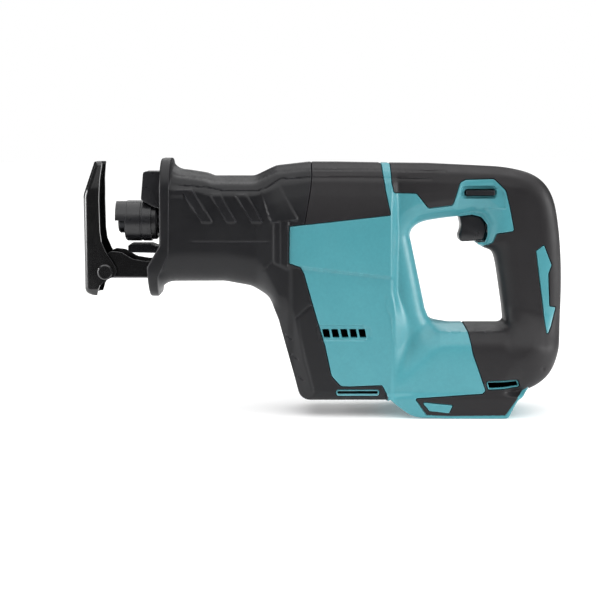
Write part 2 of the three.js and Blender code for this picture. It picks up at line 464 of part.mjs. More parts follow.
// ---- Shoe ----
const [PX, PZ] = PIVOT;
const shoeSide = [[-192.5, 103, 5], [-192.5, 179, 12], [-189, 186, 12], [-186.4, 199, 6], [-182.4, 204, 2],
  [-176, 204, 1], [-176.2, 201.6, 1], [-180.6, 200, 3], [-182, 184, 6], [-180, 172, 3], [-179.4, 148, 10],
  [-177.6, 137, 10], [-166.8, 122, 5], [-167.6, 112, 3], [-174, 110, 3], [-181, 105, 3], [-183, 96.6, 2.4],
  [-190, 96.6, 3]];
const shoeFace = [[-SHOE_HALF, 96, 8], [SHOE_HALF, 96, 8], [SHOE_HALF, 178, 14], [11, 204.5, 3], [-11, 204.5, 3],
  [-SHOE_HALF, 178, 14]];
const shoeInside = sidePrism([[-189.6, 90], [-189.6, 178, 10], [-186.2, 186, 10], [-183.8, 199, 4], [-150, 199],
  [-150, 90]], -17.3, 17.3);
piece('shoe', cut(common(sidePrism(shoeSide, -SHOE_HALF, SHOE_HALF), frontPrism(shoeFace, -200, -160)), shoeInside,
  frontPrism([[-5.5, 124, 5], [5.5, 124, 5], [5.5, 190, 5], [-5.5, 190, 5]], -200, -184),
  rodAlong('y', 3.5, -30, 30, [PX, 0, PZ], 16)), SHOE_STEEL);
piece('shoe_pin', turned([[0, -23.2], [5.2, -23.2], [6.2, -22.2], [6.2, -20.3], [3.2, -20.3], [3.2, 22], [0, 22]],
  'y', [PX, 0, PZ], 20), SHOE_STEEL);
const bracketSide = [[-181.4, 111, 5], [-181.4, 122, 5], [-172, 132.6, 3], [-163, 131.6, 4], [-153.6, 126, 4],
  [-144, 124.4, 3], [-80, 124.4], [-80, 111]];
piece('shoe_bracket', cut(sidePrism(bracketSide, -16.5, 16.5), box(-190, -70, -14.1, 14.1, 113.4, 140),
  rodAlong('y', 3.5, -30, 30, [PX, 0, PZ], 16)), SHOE_STEEL);

// ---- Trigger, switch and lock ----
piece('trigger', join(solid(slab([[108.4, 161, 2], [126, 160.6, 6], [130.6, 150, 4], [128.6, 140.4, 3],
  [109.4, 139.4, 2.6], [108.2, 144, 3], [110.6, 151, 9]], 9, [1.4, 2])), box(120, 128, -3.6, 3.6, 159, 165)), BLACK);
piece('trigger_spring', coil(3, 0.5, 0, 8.6, 4, 'x', [131.4, 0, 150]), STEEL);
piece('switch_body', box(112, 140, -10, 10, 165.6, 175.4), BLACK);
piece('lock_button', join(box(112.6, 135.4, -20.6, 15.4, 177.4, 181.2)), BLACK);

// ---- Controller and battery contacts ----
piece('controller', box(88, 122, -16, 16, 26, 48), BLACK);
const blade = (y, g) => box(98 - g, 116 + g, y - 0.4 - g, y + 0.4 + g, 1.4 - 4 * g, 9 + g);
piece('terminal_block', cut(box(88, 128, -17, 17, 5, 12.7), blade(-9, GAP), blade(9, GAP)), BLACK);
piece('terminal_plus', blade(-9, 0), BRASS);
piece('terminal_minus', blade(9, 0), BRASS);

export default group;
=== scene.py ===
"""Cordless reciprocating saw: finished shells, rubber, steel and materials over the CAD frame."""
import math

import bmesh
import bpy
import numpy as np
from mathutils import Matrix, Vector
from mathutils.geometry import delaunay_2d_cdt
from mathutils.kdtree import KDTree


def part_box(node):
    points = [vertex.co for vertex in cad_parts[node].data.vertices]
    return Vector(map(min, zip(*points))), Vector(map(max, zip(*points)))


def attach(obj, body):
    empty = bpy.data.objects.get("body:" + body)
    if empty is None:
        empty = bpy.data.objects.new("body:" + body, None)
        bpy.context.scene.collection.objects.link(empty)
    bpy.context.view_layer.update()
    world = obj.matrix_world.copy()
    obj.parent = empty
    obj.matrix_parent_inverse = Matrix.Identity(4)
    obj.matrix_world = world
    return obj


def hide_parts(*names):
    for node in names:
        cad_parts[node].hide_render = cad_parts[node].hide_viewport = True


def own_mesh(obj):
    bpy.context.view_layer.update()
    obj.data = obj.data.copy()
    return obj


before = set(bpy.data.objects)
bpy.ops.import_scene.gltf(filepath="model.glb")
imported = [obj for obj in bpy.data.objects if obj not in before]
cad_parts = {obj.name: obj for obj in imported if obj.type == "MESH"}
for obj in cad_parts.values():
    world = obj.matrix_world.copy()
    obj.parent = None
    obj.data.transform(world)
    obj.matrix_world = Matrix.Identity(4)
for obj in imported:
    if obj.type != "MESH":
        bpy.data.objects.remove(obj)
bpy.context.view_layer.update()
MM = 0.001

# ---------------------------------------------------------------- outlines of the side view
# Corners are (X, Z, radius) in millimetres. No radius is a sharp corner, and a radius of -1 is a smooth bend.
SILHOUETTE = [
    (-124, 198.6), (-107, 196.7, 30), (-94, 194.6, 20), (-88.5, 192.3, 6), (-56, 192.3, 12),
    (-39, 200.4, 14), (-12, 203.4, 20), (10, 203.4), (55, 202.6), (84, 202.3), (120, 200.8, -1),
    (150, 199.2, -1), (172, 192.5, -1), (184.5, 177, -1), (189.6, 150, -1), (192.2, 118, -1),
    (192.2, 80, -1), (190.4, 54, -1), (184.5, 35, -1), (174, 24.5, -1), (163, 19.6, -1), (154.5, 15, 6),
    (146.8, 0.2, 3), (90, 0.2, -1), (71, 0.8, -1), (60, 8.8, -1), (52.6, 14.8, 1), (50.2, 13.3, 1),
    (-19, 13.2, 9.5), (-24.5, 34, 60), (-36.5, 78, 14), (-44, 96, 12), (-59, 104, 14), (-80, 107.8, 20),
    (-124, 107.6)]
OPENING = [
    (69.9, 138), (67.6, 147.6, -1), (75.4, 155.8, -1), (92, 158.6, -1), (110, 160.4), (118.5, 161.6, 3),
    (126.4, 159.6, 5), (131, 153.4, 5), (131.4, 145, 3), (129.2, 139.1, 0.8), (122.6, 139.0, 1),
    (124.4, 137, 1.6), (128.8, 134.6, 3), (136.4, 132, -1), (139.2, 124, -1), (141.8, 108, 40),
    (144.4, 91, 40), (147.3, 73.2, 2.5), (100, 73), (90, 73.4, -1), (84.6, 77.2, -1), (81.2, 86)]
FRONT = [
    (-145, 215), (-11, 215), (-10.2, 193), (-11.3, 182), (-15.8, 155.3), (-27.9, 153.6), (-28.3, 124.2, 1.5),
    (-19.4, 121.6, 2.5), (-16.5, 116), (-6.3, 80), (0.3, 58.4), (5.5, 34, 6), (13, 25.6, 4), (20, 25.3),
    (46, 26.4, 1), (51.2, 16.2), (49.9, 12.5), (49.9, 5), (-60, 5), (-145, 60)]
TOP_PAD = [
    (-30, 215), (-30, 153.3), (51.8, 162.3, 1), (48, 180.5, 20), (45.6, 196), (44.6, 215)]
REAR = [
    (51.6, 215), (52.6, 188), (54.4, 179.5, 2), (72.5, 179.2, 3), (82.5, 167, 2), (102, 169.2, 3),
    (107.6, 187.4, 3), (112, 189.8, 3), (135, 190.4, 3), (144.5, 181, 4), (148, 167.6, 12),
    (151.8, 148.6, 2), (137.6, 146.2, 2), (134.8, 139.2, 3), (128.6, 136.6), (124, 110), (112, 76.5),
    (114.5, 69.6, 12), (118, 51.9, 30), (128.4, 22.6, 2), (126, 20, 1), (72.2, 16.4, 1), (81.2, 2.6, 2),
    (100.5, 1.9), (144.4, 2.3, 1), (154.2, 16.4, 3), (164.4, 23), (172, 8), (215, 8), (215, 215)]
ACCENT = [
    (169.4, 132.8, 1), (175.6, 137.8, 1), (182.6, 121.4, 1.5), (179.9, 114.3, 1), (181.4, 88, 1),
    (187, 87.1, 1), (182.7, 72.2, 12), (178.6, 64.6, 1), (175, 93.3, 20), (172.7, 108.7, 20)]
BADGE = [(77.4, 13.6, 1), (102.6, 11, 1), (99.4, 4.2, 1), (83.4, 5.9, 1)]
REAR_VENT = [(131.2, 24.4, 0.6), (155.2, 25.4, 0.6), (153.2, 29.6, 0.6), (130, 29, 0.6)]
LEG_VENT = [(10.4, 18.7, 0.8), (42.6, 18.7, 0.8), (42.6, 21.5, 0.8), (10.4, 21.5, 0.8)]
LOCK_FACE = [(109, 175.4, 2.5), (137, 175.4, 2.5), (137, 184.2, 2.5), (109, 184.2, 2.5)]
LOCK_SLOT = [(111.6, 176.8, 1.6), (136.4, 176.8, 1.6), (136.4, 181.9, 1.6), (111.6, 181.9, 1.6)]
SIDE_VENTS = [[(-2 + 7.2 * i, 71.6), (3.2 + 7.2 * i, 71.6), (4.6 + 7.2 * i, 65), (-0.6 + 7.2 * i, 65)]
              for i in range(5)]
SCREWS = [(62, 186), (164, 178), (177, 58), (66, 60), (146, 46)]  # housing_screw_1 to housing_screw_5
SCREW_R = 4.0
SCREW_SUNK = 1.2  # the recess floor below the screw head

# Battery channel under the foot: half widths and heights.
CHANNEL_HALF, GROOVE_HALF = 25.0, 30.0
GROOVE_LOW, GROOVE_HIGH, CEILING = 5.5, 10.5, 13.0
GROOVE_FRONT = 74

# Half widths (Y) of the body.
BARREL_HALF, MOTOR_HALF, SHOULDER_HALF, FOOT_HALF = 33.0, 36.0, 36.8, 37.8
THINNEST = 1.0  # least half width
BESIDE_TRIGGER_HALF = 11.4  # the shells reach past the trigger's sides
POCKET_HALF = 9.5  # clear half width of the trigger's pocket
POCKET_DEEP = 8.6  # how far the pocket reaches back into the grip
HALF_GAP = 0.1  # left and right pieces stop this short of the middle plane
WALL_DEEP = 2.6  # walls along a seam
FRONT_END = -123.3  # beyond it the shell is open, and the flange closes it

# Seams: how deep and wide they sink, and how near the silhouette the sinking leans inwards.
SEAM_DEEP, SEAM_WIDE, LEAN_WITHIN = 1.15, 0.62, 14.0

# Rows of points beside the outlines and the seams, and the longest edge along the outline.
RIM_ROWS = (-8.5, -5.8, -3.8, -2.3, -1.2, -0.5, 0.5, 1.2, 2.3, 3.8, 5.8, 8.5)
SEAM_ROWS = (-1.0, -0.55, -0.25, 0.25, 0.55, 1.0)
EDGE_STEP = 1.4


def rounded(corners, step=12.0):
    """Points of a closed outline given as corners, with an arc point for every step degrees."""
    out = []
    for i, c in enumerate(corners):
        p = np.array(c[:2], float)
        r = c[2] if len(c) > 2 else 0
        a = np.array(corners[i - 1][:2], float) - p
        b = np.array(corners[(i + 1) % len(corners)][:2], float) - p
        la, lb = np.linalg.norm(a), np.linalg.norm(b)
        a, b = a / la, b / lb
        if r < 0:
            start, end = p + a * la / 2, p + b * lb / 2
            n = max(4, round((la + lb) / 5))
            out += [start * (1 - t) ** 2 + p * 2 * t * (1 - t) + end * t * t
                    for t in np.linspace(0, 1, n + 1)[:-1]]
            continue
        half = math.acos(max(-1, min(1, a @ b))) / 2
        reach = min(r / math.tan(half), la * 0.49, lb * 0.49) if r else 0
        if reach < 0.05 or half > 1.555:
            out.append(p)
            continue
        radius = reach * math.tan(half)
        middle = (a + b) / np.linalg.norm(a + b) * radius / math.sin(half) + p
        start = p + a * reach - middle
        end = p + b * reach - middle
        a0, a1 = math.atan2(start[1], start[0]), math.atan2(end[1], end[0])
        sweep = (a1 - a0 + math.pi) % (2 * math.pi) - math.pi
        n = max(2, round(abs(sweep) / math.radians(step)), round(abs(sweep) * radius / 2.0))
        for k in range(n + 1):
            t = a0 + sweep * k / n
            out.append(middle + radius * np.array((math.cos(t), math.sin(t))))
    return np.array(out)


def dense(points, spacing):
    """The same closed outline with no edge longer than spacing."""
    out = []
    for p, q in zip(points, np.roll(points, -1, axis=0)):
        n = max(1, math.ceil(np.linalg.norm(q - p) / spacing))
        out += [p + (q - p) * k / n for k in range(n)]
    return np.array(out)


def inside(points, loop):
    """Which points lie inside a closed outline."""
    hit = np.zeros(len(points), bool)
    x, z = points[:, 0], points[:, 1]
    for (x0, z0), (x1, z1) in zip(loop, np.roll(loop, -1, axis=0)):
        if z0 == z1:
            continue
        crosses = (z0 > z) != (z1 > z)
        hit ^= crosses & (x < x0 + (z - z0) * (x1 - x0) / (z1 - z0))
    return hit


def distance(points, loop, closed=True):
    """Distance from each point to a closed outline or an open line."""
    a = loop if closed else loop[:-1]
    b = np.roll(loop, -1, axis=0) if closed else loop[1:]
    best = np.full(len(points), 1e9)
    for p, q in zip(a, b):
        d = q - p
        t = np.clip(((points - p) @ d) / max(d @ d, 1e-12), 0, 1)
        near = points - (p + t[:, None] * d)
        best = np.minimum(best, np.einsum("ij,ij->i", near, near))
    return np.sqrt(best)


def ramp(v, start, end):
    """Smooth step from 0 at start to 1 at end, in either direction."""
    t = np.clip((v - start) / (end - start), 0, 1)
    return t * t * (3 - 2 * t)


def mix(a, b, t):
    """The value a fraction t of the way from a to b."""
    return a + (b - a) * t


EDGE = rounded(SILHOUETTE)
HOLE = rounded(OPENING)
ROLL = rounded([(-200, 198.6)] + SILHOUETTE + [(-200, 107.6)])  # the silhouette without its open front end


def line_step(p, a, b, width):
    """0 to 1 across the line from a to b, over a width, rising to the left of it."""
    a, b = np.array(a, float), np.array(b, float)
    d = (b - a) / np.linalg.norm(b - a)
    side = (p[:, 0] - a[0]) * -d[1] + (p[:, 1] - a[1]) * d[0]
    return ramp(side, -width / 2, width / 2)


def groove(p, points, width, depth):
    """A rounded groove along an open line."""
    d = distance(p, np.array(points, float), closed=False)
    return -depth * (1 - ramp(d, 0, width / 2))


def raised(p, corners, height, soft):
    """A raised (or sunk) area with softened edges."""
    loop = rounded(corners)
    d = distance(p, loop) * np.where(inside(p, loop), 1, -1)
    return height * ramp(d, -soft / 2, soft / 2)


RIBS = [
    [(-113.5, 182.3), (-104.7, 183.0), (-88.6, 156.6), (-96.8, 156.6)],
    [(-91.2, 179.6), (-82.4, 179.2), (-69.6, 156.6), (-77.1, 156.6)],
    [(-70.9, 178.6), (-62.1, 178.9), (-48.6, 156.6), (-57.4, 156.6)]]
PANEL = [(-50.6, 182.3, 1), (-36.3, 186.1, 1), (-20.8, 158.6, 1), (-42.5, 156.6, 1)]
LIP = [(-40.5, 157, 1), (-28.6, 157, 1), (-28.6, 119, 1), (-40.5, 125, 1)]
LIP_EDGE = [(-35, 157.5, 1), (-28.6, 157.5, 1), (-28.6, 120, 1), (-35, 123.5, 1)]
LEG_FRONT = [(-46, 100), (-37.5, 78), (-25.5, 34), (-20, 10)]
LEG_NOTCHES = [[(-32, 67.5), (-26, 63)], [(-27, 51), (-21, 46.5)], [(-22.5, 34), (-16.5, 29.5)]]
SPINE = [(-124, 194.4), (-115, 192.5), (-94, 190.4), (-87, 188.2), (-57, 188.1), (-51, 190.4),
         (-40, 195.4), (-14, 197.6), (45, 197.4), (96, 196.2)]
SPINE_NOTCHES = [-106, -93.8, -84.6, -72.1, -62.4]
LOWER_SPINE = [(-120, 187.5), (-114, 185.5), (-92, 183.4), (-80, 180.9), (-53, 180.9), (-46, 183.2),
               (-35, 190.2), (-13, 191.3), (44, 191.2), (84, 190.4)]
VENT_FIELD = [(-4, 62.4, 1), (33.4, 62.4, 1), (31.4, 74.8, 1), (-6, 74.8, 1)]
CLOSED_VENT = [(33.6, 64, 1), (37.4, 64, 1), (36, 73.4, 1), (32.2, 73.4, 1)]
NECK_CREASE = [(48.8, 97.2), (48, 90.8), (52.9, 78.7), (53.8, 64.2), (56.3, 57)]
LOCK_PLATE = [(104, 166, 2), (109, 185.6, 3), (112.6, 187.6, 3), (134.4, 188.2, 3), (142.2, 180.4, 4),
              (145.4, 168.4, 4), (144, 166.4, 1)]
REAR_VENT_FIELD = [(128.4, 22.8, 1.2), (157, 24, 1.2), (154.6, 31, 1.2), (127.6, 30.4, 1.2)]


def cross_sections(p):
    """Half width before any relief: barrel, motor, grip and foot, blended, with their rounded-over edges."""
    x, z = p[:, 0], p[:, 1]
    d = np.minimum(distance(p, ROLL) * inside(p, ROLL), distance(p, HOLE))
    motor = ramp(x, -56, -34)
    ring = ramp(x, 51.5, 59 + 11 * ramp(z, 104, 72))
    foot = ramp(z, 21.5, 16) * (x > 50)
    # The grip swells from its crest down into the shoulders of the foot.
    grip = 18 + 8.4 * ramp(x, 138, 66)
    crest = np.interp(x, (52, 58, 92, 150, 176), (24, 29, 60, 62, 56))
    rise = (z - crest) / 27
    rise = np.clip((rise + np.sqrt(rise * rise + 0.03)) / 2, 0, 1)
    bell = mix(SHOULDER_HALF, grip, 1 - (1 - rise) ** 1.6)
    w = mix(BARREL_HALF, MOTOR_HALF - 8.5 * ramp(z, 156, 204), motor)
    w = mix(w, bell, ring)
    w = mix(w, FOOT_HALF, foot)
    # The edge rolls over inplane millimetres of the side view and deep millimetres of width.
    high = ramp(z, 140, 190)
    inplane = mix(27.0, 9 + 12 * high, motor)
    inplane = mix(inplane, 16 + 4 * ramp(z, 80, 50) + 12 * ramp(z, 86, 56) * ramp(x, 130, 160), ring)
    inplane = mix(inplane, 2.0, foot)
    ledge = ramp(x, 86, 104) * ramp(x, 150, 141) * (z < 76)
    deep = mix(25.0, 9 + 6 * high, motor)
    deep = mix(deep, 13 + 3 * ramp(z, 80, 40) + 6 * ramp(z, 86, 56) * ramp(x, 130, 160), ring)
    deep = mix(deep, 2.0, foot) * (1 - 0.75 * ledge)
    t = 1 - np.clip(d / inplane, 0, 1)
    roll = 1 - np.sqrt(np.clip(1 - t * t, 0, 1))
    # Along the top the roll is a chamfer with a narrow strip above it.
    facet = sum(np.interp(d + k, (0, 6.2, 14.8, 26), (1.0, 0.27, 0.045, 0)) for k in (-0.7, 0, 0.7)) / 3
    y = w - deep * mix(roll, facet, ramp(z, 150, 168) * ramp(x, 168, 146))
    leg = distance(p, np.array(LEG_FRONT, float), closed=False)
    chamfer = w - 9.5 * (1 - np.clip(leg / 14.5, 0, 1))
    y = np.minimum(y, np.where((z < 110) & (x < 20), mix(chamfer, y, ramp(z, 84, 100)), y))
    # The ledge under the finger opening slopes down to both sides.
    return mix(y, np.minimum(y, 3.5 + 5.6 * np.maximum(73.2 - z, 0)), ledge)


def half_width(p):
    """Half width of the body at each point of the side view, with its ribs, steps, recesses and grooves."""
    x, z = p[:, 0], p[:, 1]
    y = cross_sections(p)
    # Front cover: pressed ribs, raised panel, creases and the lip over the motor.
    bars = sum(raised(p, [(*c, 0.8) for c in rib], 1.3, 1.0) for rib in RIBS)
    panel = raised(p, PANEL, 1.0, 1.4) * (0.3 + 0.05 * (186 - z))
    lip = raised(p, LIP, 0.8, 1.8) + raised(p, LIP_EDGE, 0.8, 1.2)
    crease = groove(p, [(-106, 141), (-44, 141)], 1.6, 0.35)
    crease += groove(p, [(-48, 118.6), (-40.5, 125.9)], 2.0, 0.5)
    y += np.where(x < -12, bars + panel + lip + crease, 0)
    y += groove(p, [(-21.6, 81.5), (-11.5, 90.5)], 2.2, 0.9)
    y += np.where(z < 96, groove(p, [(-22, 81), (-15.6, 45.5), (-9.2, 22)], 2.4, 0.5), 0)
    for notch in LEG_NOTCHES:
        y += groove(p, notch, 1.8, 0.8)
    # Steps along the top that carry the raised spine.
    y += groove(p, SPINE, 2.0, 1.0)
    for at in SPINE_NOTCHES:
        y += groove(p, [(at, 199), (at - 1.2, 189.4)], 1.6, 0.6)
    y += groove(p, LOWER_SPINE, 2.2, 0.9)
    # Motor housing: panel step, vent recess and the pinched neck behind it.
    lower = line_step(p, (54.5, 112.4), (-18, 121), 2.4)
    on_motor = ramp(x, -30, -24) * ramp(x, 56, 52) * ramp(z, 200, 190)
    y -= 1.9 * lower * on_motor * (z < 150)
    y += raised(p, VENT_FIELD, -0.9, 0.8)
    y += raised(p, CLOSED_VENT, -0.8, 0.7)
    y += groove(p, NECK_CREASE, 2.2, 0.5)
    # Rear grip: lock plate ledge, lock button recess, vent field and dimple.
    y += raised(p, LOCK_PLATE, -0.8, 0.9)
    y += raised(p, LOCK_FACE, -1.9, 1.0)
    y += raised(p, REAR_VENT_FIELD, -0.5, 0.8)
    y -= 0.8 * (1 - ramp(np.hypot(x - 175, z - 39), 0.6, 2.2))
    beside_trigger = (x > 107) & (x < 141) & (z > 137) & (z < 168)
    return np.clip(y, np.where(beside_trigger, BESIDE_TRIGGER_HALF, THINNEST), FOOT_HALF)


def grid(step):
    """Points of a triangular grid over the side view."""
    lo, hi = EDGE.min(0), EDGE.max(0)
    nx, nz = int((hi[0] - lo[0]) / step), int((hi[1] - lo[1]) / (step * 0.866))
    return np.array([(lo[0] + (i + 0.5 * (j % 2)) * step, lo[1] + j * step * 0.866)
                     for j in range(nz + 1) for i in range(nx + 1)])


def offsets(loop, distances):
    """Rows of points beside an outline, at set distances."""
    d = np.roll(loop, -1, axis=0) - np.roll(loop, 1, axis=0)
    n = np.stack((-d[:, 1], d[:, 0]), 1) / np.maximum(np.linalg.norm(d, axis=1), 1e-9)[:, None]
    return np.concatenate([loop + n * k for k in distances])


def gaps(points, cloud):
    """Distance from each point to the nearest point of a cloud."""
    tree = KDTree(len(cloud))
    for i, p in enumerate(cloud):
        tree.insert((p[0], p[1], 0), i)
    tree.balance()
    return np.array([tree.find((p[0], p[1], 0))[2] for p in points])


def triangulate(holes):
    """One triangulation of the whole side view, holding every outline as edges."""
    fine = 1.1
    edge = [dense(EDGE, EDGE_STEP), dense(HOLE, 1.2)]
    lines = [dense(rounded(c), 1.2) for c in (FRONT, TOP_PAD, REAR, ACCENT, BADGE)]
    cuts = [dense(h, 1.0) for h in holes]
    rim = np.concatenate([offsets(e, RIM_ROWS) for e in edge])
    seam = np.concatenate([offsets(e, SEAM_ROWS) for e in lines + cuts])
    hard = np.concatenate(edge + lines + cuts)
    keep = []
    for cloud, room in ((seam, 0.16), (rim, 0.4), (grid(fine), 0.55 * fine)):
        cloud = cloud[inside(cloud, EDGE) & ~inside(cloud, HOLE)]
        keep.append(cloud[gaps(cloud, np.concatenate([hard, *keep])) > room])
    points = [Vector(map(float, p)) for p in hard] + [Vector(map(float, p)) for c in keep for p in c]
    links, at = [], 0
    for loop in edge + lines + cuts:
        links += [(at + k, at + (k + 1) % len(loop)) for k in range(len(loop))]
        at += len(loop)
    verts, _, faces, _, _, _ = delaunay_2d_cdt(points, links, [], 0, 1e-5, False)
    return np.array([tuple(v) for v in verts]), np.array([f for f in faces if len(f) == 3])


def placed(name, data):
    """A new object with this data, linked to the scene."""
    obj = bpy.data.objects.new(name, data)
    bpy.context.collection.objects.link(obj)
    return obj


def make_object(name, verts, faces, body, material, smooth, stands_for, slot):
    """A mesh piece in metres that rides on a CAD body and replaces CAD nodes, sharp above smooth degrees."""
    mesh = bpy.data.meshes.new(name)
    mesh.from_pydata([tuple(float(c) for c in v) for v in verts], [], [tuple(map(int, f)) for f in faces])
    mesh.validate()
    bm = bmesh.new()
    bm.from_mesh(mesh)
    bmesh.ops.remove_doubles(bm, verts=bm.verts, dist=1e-6)
    bmesh.ops.recalc_face_normals(bm, faces=bm.faces)
    for f in bm.faces:
        f.smooth = True
    limit = math.radians(smooth)
    for e in bm.edges:
        e.smooth = not (len(e.link_faces) == 2 and e.calc_face_angle(0) > limit)
    bm.to_mesh(mesh)
    bm.free()
    obj = placed(name, mesh)
    mesh.materials.append(material)
    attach(obj, body)
    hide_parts(*stands_for)
    return obj


# ---------------------------------------------------------------- materials
def shader(name):
    """A new material, its node tree and its Principled shader."""
    mat = bpy.data.materials.new(name)
    mat.use_nodes = True
    tree = mat.node_tree
    return mat, tree, tree.nodes["Principled BSDF"]


def node(tree, kind, links=None, **values):
    """A new node, with each input linked to a socket or set to a value."""
    n = tree.nodes.new(kind)
    for key, value in values.items():
        setattr(n, key, value)
    for socket, source in (links or {}).items():
        if isinstance(source, bpy.types.NodeSocket):
            tree.links.new(source, n.inputs[socket])
        else:
            n.inputs[socket].default_value = source
    return n


def noise(tree, at, scale, detail, roughness):
    return node(tree, "ShaderNodeTexNoise", {"Vector": at, "Scale": scale, "Detail": detail,
                                             "Roughness": roughness}).outputs["Fac"]


def remap(tree, value, start, end, low, high):
    return node(tree, "ShaderNodeMapRange", {0: value, 1: start, 2: end, 3: low, 4: high}).outputs[0]


def blend(tree, amount, a, b, how="MIX"):
    return node(tree, "ShaderNodeMix", {0: amount, 6: a, 7: b}, data_type="RGBA", blend_type=how).outputs[2]


CLOUDS = 26.0  # noise scales, per metre
SPECKS, RUBBED = 420.0, 70.0
WORN_AND_LIT_EDGE = 0.0009  # metres of edge painted lighter, partly as wear and partly as a painted highlight
GRAIN_HEIGHT = 0.0002


def finish(name, dark, light, rough, grain, bump, metal=0.0, edge_wear_and_highlight=None, wear_and_highlight_amount=0.5, spread=0.06,
           coat=0.0, brushed=(1.0, 1.0, 1.0), gleam=0.5):
    """A moulded or metal finish: cloudy colour, fine grain, scuffs, and edges painted lighter, partly as wear
    and partly as a painted highlight.
    """
    mat, tree, bsdf = shader(name)
    bsdf.inputs["Metallic"].default_value = metal
    bsdf.inputs["Specular IOR Level"].default_value = gleam
    bsdf.inputs["IOR"].default_value = 1.5
    bsdf.inputs["Coat Weight"].default_value = coat
    bsdf.inputs["Coat Roughness"].default_value = 0.12
    place = node(tree, "ShaderNodeTexCoord").outputs["Object"]
    big = noise(tree, place, CLOUDS, 4.0, 0.6)
    mid = noise(tree, place, SPECKS, 3.0, 0.65)
    stretch = node(tree, "ShaderNodeMapping", {"Vector": place, "Scale": brushed}).outputs[0]
    fine = noise(tree, stretch, grain, 2.0, 0.7)
    colour = blend(tree, big, (*dark, 1), (*light, 1))
    colour = blend(tree, 1.0, colour, remap(tree, mid, 0.3, 0.7, 0.965, 1.035), "MULTIPLY")
    # Edges painted lighter: partly wear, partly a painted highlight on the rounded edges.
    if edge_wear_and_highlight:
        bevelled_normal = node(tree, "ShaderNodeBevel", {"Radius": WORN_AND_LIT_EDGE}, samples=4).outputs[0]
        flat = node(tree, "ShaderNodeNewGeometry").outputs["Normal"]
        turn = node(tree, "ShaderNodeVectorMath", {0: bevelled_normal, 1: flat}, operation="DOT_PRODUCT").outputs["Value"]
        edge = remap(tree, turn, 0.985, 0.86, 0.0, 1.0)
        patch = remap(tree, big, 0.35, 0.65, 0.15, wear_and_highlight_amount)
        amount = node(tree, "ShaderNodeMath", {0: edge, 1: patch}, operation="MULTIPLY").outputs[0]
        colour = blend(tree, amount, colour, (*edge_wear_and_highlight, 1))
    tree.links.new(colour, bsdf.inputs["Base Color"])
    scuffs = noise(tree, place, RUBBED, 6.0, 0.7)
    gloss = remap(tree, scuffs, 0.3, 0.7, rough - spread, rough + spread)
    tree.links.new(gloss, bsdf.inputs["Roughness"])
    lift = node(tree, "ShaderNodeBump", {"Height": fine, "Strength": bump, "Distance": GRAIN_HEIGHT})
    tree.links.new(lift.outputs[0], bsdf.inputs["Normal"])
    return mat


def srgb(r, g, b):
    """A colour given in 0 to 255, as Blender's linear values."""
    return tuple(((c / 255 + 0.055) / 1.055) ** 2.4 if c > 10 else c / 255 / 12.92 for c in (r, g, b))


# The teal's light edge colour is mostly a painted highlight along its rounded seam edges.
TEAL = finish("teal_nylon", srgb(69, 142, 152), srgb(80, 156, 166), 0.34, 2600.0, 0.14,
              edge_wear_and_highlight=srgb(132, 196, 204), wear_and_highlight_amount=0.9, gleam=0.5)
COVER = finish("cover_rubber", srgb(16, 16, 19), srgb(23, 23, 26), 0.42, 2300.0, 0.26, edge_wear_and_highlight=srgb(78, 78, 84),
               wear_and_highlight_amount=0.8, gleam=0.34)
PAD = finish("overmould_rubber", srgb(25, 23, 25), srgb(33, 31, 33), 0.5, 1900.0, 0.32, edge_wear_and_highlight=srgb(76, 74, 78),
             wear_and_highlight_amount=0.6, gleam=0.36)
PLASTIC = finish("black_nylon", srgb(27, 27, 30), srgb(37, 37, 40), 0.3, 2600.0, 0.14, edge_wear_and_highlight=srgb(84, 84, 88),
                 gleam=0.5)
STEEL_BLACK = finish("coated_steel", srgb(7, 7, 8), srgb(13, 13, 14), 0.2, 900.0, 0.05, spread=0.07, coat=0.5,
                     edge_wear_and_highlight=srgb(120, 120, 124), wear_and_highlight_amount=0.35, gleam=0.45)
DARK_STEEL = finish("dark_steel", srgb(20, 21, 24), srgb(34, 35, 39), 0.28, 1400.0, 0.1, metal=0.6,
                    edge_wear_and_highlight=srgb(150, 150, 152), wear_and_highlight_amount=0.4)
BRIGHT_STEEL = finish("machined_steel", srgb(150, 151, 154), srgb(178, 179, 182), 0.26, 500.0, 0.1, metal=1.0,
                      brushed=(1.0, 14.0, 14.0), spread=0.08)
CAST = finish("cast_alloy", srgb(120, 122, 124), srgb(150, 152, 154), 0.5, 1100.0, 0.4, metal=0.9)
BRONZE = finish("sintered_bronze", srgb(140, 104, 62), srgb(168, 128, 80), 0.45, 1700.0, 0.3, metal=0.9)
SILICON = finish("silicon_steel", srgb(96, 98, 102), srgb(120, 122, 126), 0.42, 900.0, 0.4, metal=0.9,
                 brushed=(1.0, 1.0, 8.0))
COPPER = finish("enamelled_copper", srgb(150, 74, 40), srgb(186, 100, 56), 0.3, 1400.0, 0.3, metal=0.85,
                coat=0.3)
BOARD = finish("circuit_board", srgb(16, 70, 46), srgb(22, 86, 56), 0.38, 1500.0, 0.1)
BRASS = finish("tinned_brass", srgb(176, 170, 150), srgb(200, 194, 172), 0.3, 900.0, 0.1, metal=1.0)
LENS = finish("clear_lens", srgb(196, 200, 204), srgb(220, 224, 228), 0.12, 700.0, 0.05, spread=0.04,
              coat=0.5)
LENS.node_tree.nodes["Principled BSDF"].inputs["Transmission Weight"].default_value = 0.6
SLOTS = {"teal_plastic": TEAL, "black_overmould": PAD, "black_rubber_cover": COVER, "black_plastic": PLASTIC,
         "coated_steel": STEEL_BLACK, "machined_steel": BRIGHT_STEEL, "dark_steel": DARK_STEEL,
         "cast_alloy": CAST, "sintered_bronze": BRONZE, "silicon_steel": SILICON, "enamelled_copper": COPPER,
         "circuit_board": BOARD, "clear_lens": LENS, "tinned_brass": BRASS}


